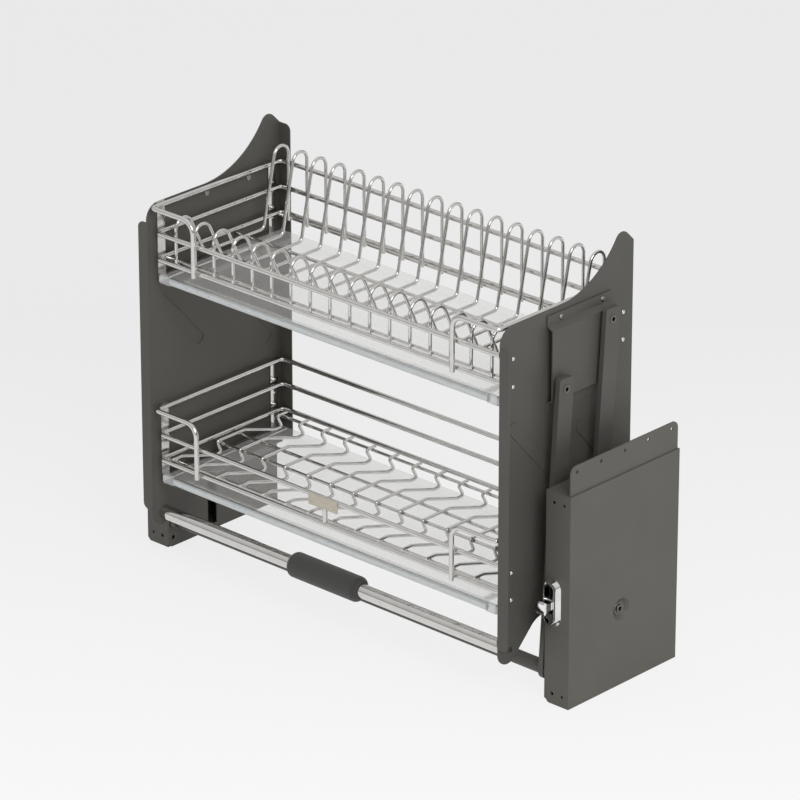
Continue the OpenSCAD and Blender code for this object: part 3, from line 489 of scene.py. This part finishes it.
def makePlateRack(s):
    low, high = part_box("plate_wires")
    d = s["diameter"] * mm
    short, tall = s["shortLoop"], s["tallLoop"]
    front, rear, base = low.y + d / 2, high.y - d / 2, low.z + s["tail"] * mm
    footFront, footRear = (rackFront + foot * mm for foot in s["feet"])
    shortTop, tallTop = base + short["height"] * mm, base + tall["height"] * mm
    bends = (short["bend"], short["bend"], *s["footBends"], tall["bend"], tall["bend"])
    bm = bmesh.new()
    bendWire(bm, [(0, front, low.z), (0, front, shortTop), (0, front + short["width"] * mm, shortTop),
                  (0, footFront, base), (0, footRear, base), (0, rear - tall["width"] * mm, tallTop),
                  (0, rear, tallTop), (0, rear, low.z)], d, [b * mm for b in bends])
    tidyWire(bm)
    pitch = (high.x - low.x - d) / (s["count"] - 1)
    places = [low.x + d / 2 + i * pitch for i in range(s["count"])]
    finishMesh("plate_wires_bent", repeatedAcross(bm, places), "chrome", "plate_wires")

    crossLow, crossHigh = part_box("upper_cross_wires")
    step = d + s["gap"] * mm
    bm = bmesh.new()
    for depth in s["baseWires"]:
        y = rackFront + depth * mm
        bendWire(bm, [(crossLow.x, y, crossLow.z + d / 2), (crossHigh.x, y, crossLow.z + d / 2)], d, [])
        for x in places:
            weldSpot(bm, (x, y, base - step / 2), "crossing", d)
    butt = crossHigh.x - rails["diameter"] / 2 * mm - s["gap"] * mm
    for leg in (front, rear):
        bendWire(bm, [(-butt, leg + step, base), (butt, leg + step, base)], d, [])
        for x in places:
            weldSpot(bm, (x, leg + step / 2, base), "leg", d)
    tidyWire(bm)
    finishMesh("upper_cross_wires_welded", bm, "chrome", "upper_cross_wires")


makePlateRack(plateRack)
print("plate rack bent")

glassFloor = {
    "diameter": 4.6,
    "count": 15,
    "linkedEvery": 7,  # these wires reach the rear rail
    "front": 21.5,
    "rear": 241,
    "linkedRear": 243,
    "runs": (18, 61.5, 13.5, -8.5, 53.5, 59.5, 13.5, -10.5),  # flat, slope, valley, tooth, twice over
    "toothDepth": 18.5,
    "bend": 3,
    "crossWires": (30, 113.6, 152, 236),
    "gap": 0.1,
}


def makeGlassFloor(s):
    low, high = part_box("floor_wires")
    d = s["diameter"] * mm
    top, bottom = high.z - d / 2, high.z - d / 2 - s["toothDepth"] * mm
    heights = (top, top, bottom, bottom, top, top, bottom, bottom, top)
    depth, path = s["front"], []
    for run, z in zip((0, *s["runs"]), heights):
        depth += run
        path.append((0, rackFront + depth * mm, z))
    pitch = (high.x - low.x - d) / (s["count"] - 1)
    places = [low.x + d / 2 + i * pitch for i in range(s["count"])]
    wires = bmesh.new()
    for end, mine in (("linkedRear", True), ("rear", False)):
        bm = bmesh.new()
        bendWire(bm, path + [(0, rackFront + s[end] * mm, top)], d, s["bend"] * mm)
        tidyWire(bm)
        chosen = [x for i, x in enumerate(places) if (i % s["linkedEvery"] == 0) == mine]
        addInto(wires, repeatedAcross(bm, chosen))
    finishMesh("floor_wires_bent", wires, "chrome", "floor_wires")

    crossLow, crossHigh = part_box("lower_cross_wires")
    z = crossLow.z + d / 2
    bm = bmesh.new()
    for depth in s["crossWires"]:
        y = rackFront + depth * mm
        bendWire(bm, [(crossLow.x, y, z), (crossHigh.x, y, z)], d, [])
        for x in places:
            weldSpot(bm, (x, y, (z + top) / 2), "crossing", d)
    tidyWire(bm)
    finishMesh("lower_cross_wires_welded", bm, "chrome", "lower_cross_wires")


makeGlassFloor(glassFloor)
print("floor bent")


# Rivets and screws


# The box of each separate solid in a node, in order
def solidsOf(name):
    bm = mergedCopy(name)
    left, found = set(bm.verts), []
    while left:
        group = [left.pop()]
        for v in group:
            for e in v.link_edges:
                other = e.other_vert(v)
                if other in left:
                    left.remove(other)
                    group.append(other)
        low = Vector(min(v.co[i] for v in group) for i in range(3))
        high = Vector(max(v.co[i] for v in group) for i in range(3))
        found.append((low, high))
    bm.free()
    return sorted(found, key=lambda b: tuple(round(c, 5) for c in b[0]))


# A profile of (radius, height) in mm, spun about the X axis at a place; socket is a hexagon's corner radius
def turnedPart(bm, profile, place, outward, socket=0.0, steps=24):
    part = bmesh.new()
    verts = [part.verts.new((h * mm, r * mm, 0)) for r, h in profile]
    edges = [part.edges.new(pair) for pair in zip(verts, verts[1:])]
    bmesh.ops.spin(part, geom=verts + edges, cent=(0, 0, 0), axis=(1, 0, 0), angle=math.tau, steps=steps,
                   use_merge=True)
    bmesh.ops.remove_doubles(part, verts=part.verts, dist=mergeWithin["turned"])
    for v in part.verts:
        r = math.hypot(v.co.y, v.co.z)
        if socket and abs(r - socket * mm) < mergeWithin["cad"]:
            corner = math.radians(60)
            lean = math.atan2(v.co.z, v.co.y) % corner - corner / 2
            pull = math.cos(corner / 2) / math.cos(lean)
            v.co.y, v.co.z = v.co.y * pull, v.co.z * pull
    if outward < 0:
        bmesh.ops.scale(part, verts=part.verts, vec=(-1, 1, 1))
    bmesh.ops.translate(part, verts=part.verts, vec=place)
    bmesh.ops.recalc_face_normals(part, faces=part.faces)
    addInto(bm, part)


fixings = {
    "rivets_left": {"shank": 2, "head": 3, "rise": 1.5, "eye": 1, "eyeDepth": 0.7, "tailEye": 1.3},
    "rivets_right": {"shank": 2, "head": 3, "rise": 1.5, "eye": 1, "eyeDepth": 0.7, "tailEye": 1.3},
    "bracket_screws": {"shank": 2.5, "head": 4, "rise": 2, "eye": 1.7, "eyeDepth": 1.2, "socket": 1.7,
                       "clinch": 3.9, "clinchDeep": 0.95},  # squeezed out where the tail comes through
    "handle_screws": {"shank": 2.5, "head": 4, "rise": 2, "eye": 1.5, "eyeDepth": 1.3, "socket": 1.5},
}


# Small steps that all of them share, in mm, and the angle between the rings of a domed head
smallSteps = {"tail": 0.3, "rim": 0.15, "land": 0.15, "tailEyeDeep": 0.6, "drillTip": 0.3, "domeStep": 15}


def makeFixings(name, s, small):
    domeAngles = [math.radians(a) for a in range(90 - small["domeStep"], 0, -small["domeStep"])]
    bm = bmesh.new()
    for low, high in solidsOf(name):
        outward = 1 if low.x + high.x > 0 else -1
        length = (high.x - low.x) / mm - s["rise"]
        face = (high.x if outward > 0 else low.x) - outward * s["rise"] * mm
        head, rise, eye = s["head"], s["rise"], s["eye"]
        dome = [(head * math.sin(a), rise * math.cos(a)) for a in domeAngles]
        dome = [p for p in dome if p[0] > eye + small["land"]]
        lip = rise * math.sqrt(max(0.0, 1 - (eye / head) ** 2))
        tail = s.get("tailEye", 0)
        profile = [(0, -length)]
        if tail:
            tailFloor = small["tailEyeDeep"] - length
            profile = [(0, tailFloor), (tail, tailFloor), (tail, -length)]
        wide = s.get("clinch", s["shank"])
        profile += [(wide - small["tail"], -length), (wide, small["tail"] - length)]
        if "clinch" in s:
            profile += [(wide, s["clinchDeep"] - length), (s["shank"], s["clinchDeep"] - length)]
        floor = rise - s["eyeDepth"]
        profile += [(s["shank"], 0), (head - small["rim"], 0), (head, small["rim"]), *dome, (eye, lip),
                    (eye, floor), (0, floor - small["drillTip"])]
        place = Vector((face, (low.y + high.y) / 2, (low.z + high.z) / 2))
        turnedPart(bm, profile, place, outward, s.get("socket", 0))
    finishMesh(name + "_turned", bm, coatOf[name], name)


for name, s in fixings.items():
    makeFixings(name, s, smallSteps)
print("fixings turned")

# Heights are in mm from the end of the axle, which shows in the housing's dimple
rearAxle = {
    "shank": 6,
    "head": 9,
    "headThick": 2.4,
    "washer": 9.6,
    "washerFace": 1.6,
    "washerBack": 3.0,
    "groove": 7.2,
    "grooveDeep": 0.7,
    "socket": 3.5,
    "socketDeep": 4,
    "chamfer": 0.35,
    "steps": 48,
}


def makeRearAxle(name, s):
    low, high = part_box(name)
    outward = 1 if low.x + high.x > 0 else -1
    length, c = (high.x - low.x) / mm, s["chamfer"]
    shank, head, washer, groove, socket = s["shank"], s["head"], s["washer"], s["groove"], s["socket"]
    face, back, headBack = -s["washerFace"], -s["washerBack"], s["headThick"] - length
    grooveFloor, socketFloor = face - s["grooveDeep"], -s["socketDeep"]
    profile = [(0, -length), (head - c, -length), (head, c - length), (head, headBack - c),
               (head - c, headBack), (shank, headBack), (shank, back), (washer - c, back),
               (washer, back + c), (washer, face - c), (washer - c, face), (groove, face),
               (groove, grooveFloor), (shank, grooveFloor), (shank, -c), (shank - c, 0),
               (socket + c, 0), (socket, -c), (socket, socketFloor), (0, socketFloor - c)]
    place = Vector((high.x if outward > 0 else low.x, (low.y + high.y) / 2, (low.z + high.z) / 2))
    bm = bmesh.new()
    turnedPart(bm, profile, place, outward, socket, s["steps"])
    finishMesh(name + "_turned", bm, "darkSteel", name)


for side in ("left", "right"):
    makeRearAxle("rear_axle_" + side, rearAxle)
print("rear axles turned")

springs = {"wire": 3.0, "turns": 6, "stepsPerTurn": 20, "sides": 10}


# The torsion spring inside a housing, wound round the rear axle
def makeSpring(name, s):
    low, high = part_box(name)
    wire = s["wire"] * mm
    centre = Vector((low.x, (low.y + high.y) / 2, (low.z + high.z) / 2))
    radius = (high.z - low.z) / 2 - wire / 2
    steps = s["turns"] * s["stepsPerTurn"]
    bm = bmesh.new()
    onTop = Matrix.Translation(centre + Vector((wire / 2, 0, radius)))
    start = onTop @ Matrix.Rotation(math.radians(90), 4, "X")
    first = bmesh.ops.create_circle(bm, segments=s["sides"], radius=wire / 2, matrix=start)["verts"]
    travel = high.x - low.x - wire
    made = bmesh.ops.spin(bm, geom=first + ringEdges(first), cent=centre, axis=(1, 0, 0),
                          dvec=(travel / steps, 0, 0), angle=math.tau * s["turns"], steps=steps)
    last = [v for v in made["geom_last"] if isinstance(v, bmesh.types.BMVert)]
    for end in (first, last):
        bmesh.ops.contextual_create(bm, geom=ringEdges(end))
    tidyWire(bm)
    finishMesh(name + "_coil", bm, "zinc", name)


for side in ("left", "right"):
    makeSpring("lift_spring_" + side, springs)
print("springs wound")


# Studio
studio = {
    "floorSize": 60.0,
    "floorColour": 0.90,
    "floorGlow": 0.9,  # share of plain white that the camera and the chrome see in the floor
    "nearWhite": 1.0,
    "farWhite": 0.83,
    "nearAt": -1.2,  # metres along the view, from the middle of the rack
    "farAt": 1.0,
    "horizon": 0.33,
    "halfway": 0.62,
    "halfwayAt": 0.4,
    "zenith": 0.85,
    "seenSky": 0.85,
    "key": {"place": (4.2, -2.0, 3.6), "aim": (0, 0, 0.3), "size": 2.6, "power": 108.0},
}


def rayKinds(tree, kinds):
    path = addNode(tree, "ShaderNodeLightPath")
    seen = path.outputs[kinds[0]]
    for kind in kinds[1:]:
        either = addNode(tree, "ShaderNodeMath", operation="MAXIMUM")
        tree.links.new(seen, either.inputs[0])
        tree.links.new(path.outputs[kind], either.inputs[1])
        seen = either.outputs[0]
    return seen


def makeFloor(s):
    bm = bmesh.new()
    bmesh.ops.create_grid(bm, x_segments=1, y_segments=1, size=s["floorSize"] / 2)
    mesh = bpy.data.meshes.new("floor")
    bm.to_mesh(mesh)
    bm.free()
    floor = bpy.data.objects.new("floor", mesh)
    bpy.context.scene.collection.objects.link(floor)
    m, tree, shader = newMaterial("studio floor")
    grey = s["floorColour"]
    shader.inputs["Base Color"].default_value = (grey, grey, grey, 1)
    shader.inputs["Roughness"].default_value = 1.0
    shader.inputs["Specular IOR Level"].default_value = 0.0
    coords = addNode(tree, "ShaderNodeTexCoord")
    turned = addNode(tree, "ShaderNodeMapping", {"Rotation": (0, 0, -math.radians(cameraSetup["turn"]))})
    axes = addNode(tree, "ShaderNodeSeparateXYZ")
    tree.links.new(coords.outputs["Object"], turned.inputs["Vector"])
    tree.links.new(turned.outputs["Vector"], axes.inputs["Vector"])
    white = rangeFrom(tree, axes.outputs["Y"], s["nearWhite"], s["farWhite"], s["nearAt"], s["farAt"])
    glow = addNode(tree, "ShaderNodeEmission")
    tree.links.new(white, glow.inputs["Color"])
    share = addNode(tree, "ShaderNodeMath", {1: s["floorGlow"]}, operation="MULTIPLY")
    seen = rayKinds(tree, ["Is Camera Ray", "Is Glossy Ray", "Is Transmission Ray"])
    tree.links.new(seen, share.inputs[0])
    both = addNode(tree, "ShaderNodeMixShader")
    tree.links.new(share.outputs[0], both.inputs[0])
    tree.links.new(shader.outputs[0], both.inputs[1])
    tree.links.new(glow.outputs[0], both.inputs[2])
    tree.links.new(both.outputs[0], tree.nodes["Material Output"].inputs["Surface"])
    mesh.materials.append(m)


def areaLamp(name, s):
    data = bpy.data.lights.new(name, "AREA")
    data.energy = s["power"]
    data.size = s["size"]
    lamp = bpy.data.objects.new(name, data)
    bpy.context.scene.collection.objects.link(lamp)
    place = Vector(s["place"])
    turned = (Vector(s["aim"]) - place).to_track_quat("-Z", "Y").to_matrix().to_4x4()
    lamp.matrix_world = Matrix.Translation(place) @ turned


# A studio dome, darker towards the horizon; the camera sees it plain
def makeWorld(s):
    world = bpy.data.worlds.new("studio")
    world.use_nodes = True
    tree = world.node_tree
    sky = tree.nodes["Background"]
    coords = addNode(tree, "ShaderNodeTexCoord")
    axes = addNode(tree, "ShaderNodeSeparateXYZ")
    tree.links.new(coords.outputs["Generated"], axes.inputs["Vector"])
    heights = [(0.0, s["horizon"]), (s["halfwayAt"], s["halfway"]), (1.0, s["zenith"])]
    dome = rampFrom(tree, axes.outputs["Z"], [(at, (grey,) * 3) for at, grey in heights])
    seen = addNode(tree, "ShaderNodeMix", data_type="RGBA")
    seen.inputs["B"].default_value = (s["seenSky"],) * 3 + (1,)
    tree.links.new(rayKinds(tree, ["Is Camera Ray"]), seen.inputs["Factor"])
    tree.links.new(dome, seen.inputs["A"])
    tree.links.new(seen.outputs["Result"], sky.inputs["Color"])
    bpy.context.scene.world = world


makeFloor(studio)
areaLamp("key", studio["key"])
makeWorld(studio)
bpy.context.scene.view_settings.view_transform = "Standard"
print("studio ready")
